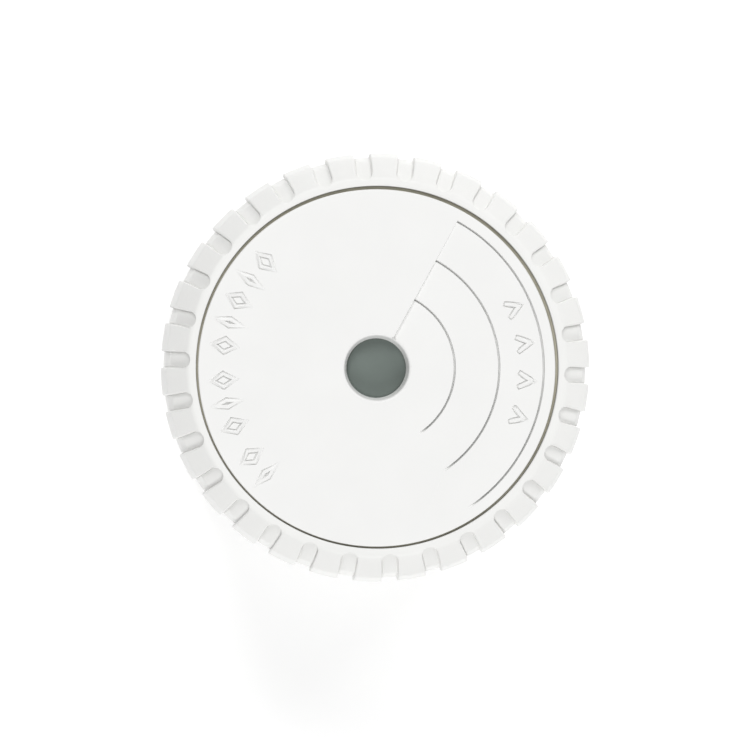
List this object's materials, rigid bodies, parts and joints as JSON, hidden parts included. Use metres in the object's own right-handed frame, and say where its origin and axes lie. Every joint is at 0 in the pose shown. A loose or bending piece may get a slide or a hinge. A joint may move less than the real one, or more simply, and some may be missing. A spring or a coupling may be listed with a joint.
{
  "type": "smoke detector",
  "caption": "Small round battery smoke alarm: a toothed grip ring round a press-to-test disc with a smoked indicator lens, a vented band, a deep cup and a twist-off ceiling plate.",
  "frame": {"origin": "centre of the mounting plate's back face, where it lies on the ceiling", "axes": "+Z away from the ceiling, out of the front disc; +X to the right and +Y up when the front face is looked at with its raised lozenges on the left"},
  "size_m": [0.054, 0.054, 0.045],
  "materials": {
    "white_plastic": "fine matt texture",
    "disc_plastic": "smooth satin",
    "grey_plastic": "matt",
    "black_plastic": "matt black",
    "package_black": "fine moulded",
    "smoked_lens": "smoked, satin face",
    "clear_guide": "clear acrylic",
    "diode_lens": "water clear epoxy",
    "led_green": "tinted epoxy",
    "board_green": "solder mask",
    "ceramic_tan": "fired",
    "ceramic_white": "fired",
    "ferrite": "matt",
    "brass_sheet": "rolled sheet",
    "copper_wire": "enamelled copper wire",
    "spring_steel": "drawn wire",
    "screw_steel": "zinc plated",
    "tinned_steel": "bright tin",
    "can_aluminium": "drawn can",
    "sleeve_dark": "shrink film",
    "sleeve_blue": "shrink film",
    "foam_black": "closed-cell foam",
    "bung_rubber": "moulded",
    "lead_red": "soft insulation",
    "lead_black": "soft insulation",
    "lead_white": "soft insulation"
  },
  "bodies": {
    "mount": {"mounting_plate": "grey_plastic"},
    "test_disc": {"front_disc": "disc_plastic", "indicator_lens": "smoked_lens"},
    "switch_button": {"test_switch_plunger": "black_plastic"},
    "alarm": {"rear_cover": "white_plastic", "battery_door": "white_plastic", "front_cover": "white_plastic", "return_springs": "spring_steel", "housing_screws": "screw_steel", "main_board": "board_green", "test_switch_body": "black_plastic", "test_switch_frame": "tinned_steel", "controller_chip": "package_black", "controller_legs": "tinned_steel", "horn_driver_chip": "package_black", "horn_driver_legs": "tinned_steel", "boost_coil_core": "ferrite", "boost_coil_winding": "copper_wire", "capacitor_can_left": "can_aluminium", "capacitor_sleeve_left": "sleeve_dark", "capacitor_bung_left": "bung_rubber", "capacitor_can_right": "can_aluminium", "capacitor_sleeve_right": "sleeve_dark", "capacitor_bung_right": "bung_rubber", "ceramic_capacitors": "ceramic_tan", "chip_resistors": "ceramic_white", "battery_cell": "can_aluminium", "battery_sleeve": "sleeve_blue", "battery_positive_contact": "tinned_steel", "battery_negative_contact": "tinned_steel", "battery_spring": "spring_steel", "chamber_base": "black_plastic", "chamber_cap": "black_plastic", "insect_screen": "black_plastic", "infrared_emitter": "diode_lens", "emitter_leads": "tinned_steel", "photodiode": "package_black", "photodiode_leads": "tinned_steel", "photodiode_shield": "tinned_steel", "horn_cup": "grey_plastic", "piezo_plate": "brass_sheet", "piezo_ceramic": "ceramic_white", "piezo_gasket": "foam_black", "sounder_lead_red": "lead_red", "sounder_lead_black": "lead_black", "sounder_lead_white": "lead_white", "status_led": "led_green", "light_guide": "clear_guide"}
  },
  "joints": [
    {"name": "twist_lock", "type": "hinge", "parent": "mount", "child": "alarm", "pos_m": [0, 0, 0.0035], "axis": [0, 0, 1], "range_deg": [0, 22]},
    {"name": "test_press", "type": "slide", "parent": "alarm", "child": "test_disc", "axis": [0, 0, -1], "range_m": [0, 0.0008], "stiffness_N_per_m": 1200, "springref_m": -0.0012, "deforming": ["return_springs"]},
    {"name": "switch_press", "type": "slide", "parent": "alarm", "child": "switch_button", "axis": [0, 0, -1], "range_m": [0, 0.00025]}
  ],
  "couplings": [
    {"joint": "switch_press", "follows": "test_press", "ratio": 0.3125}
  ]
}
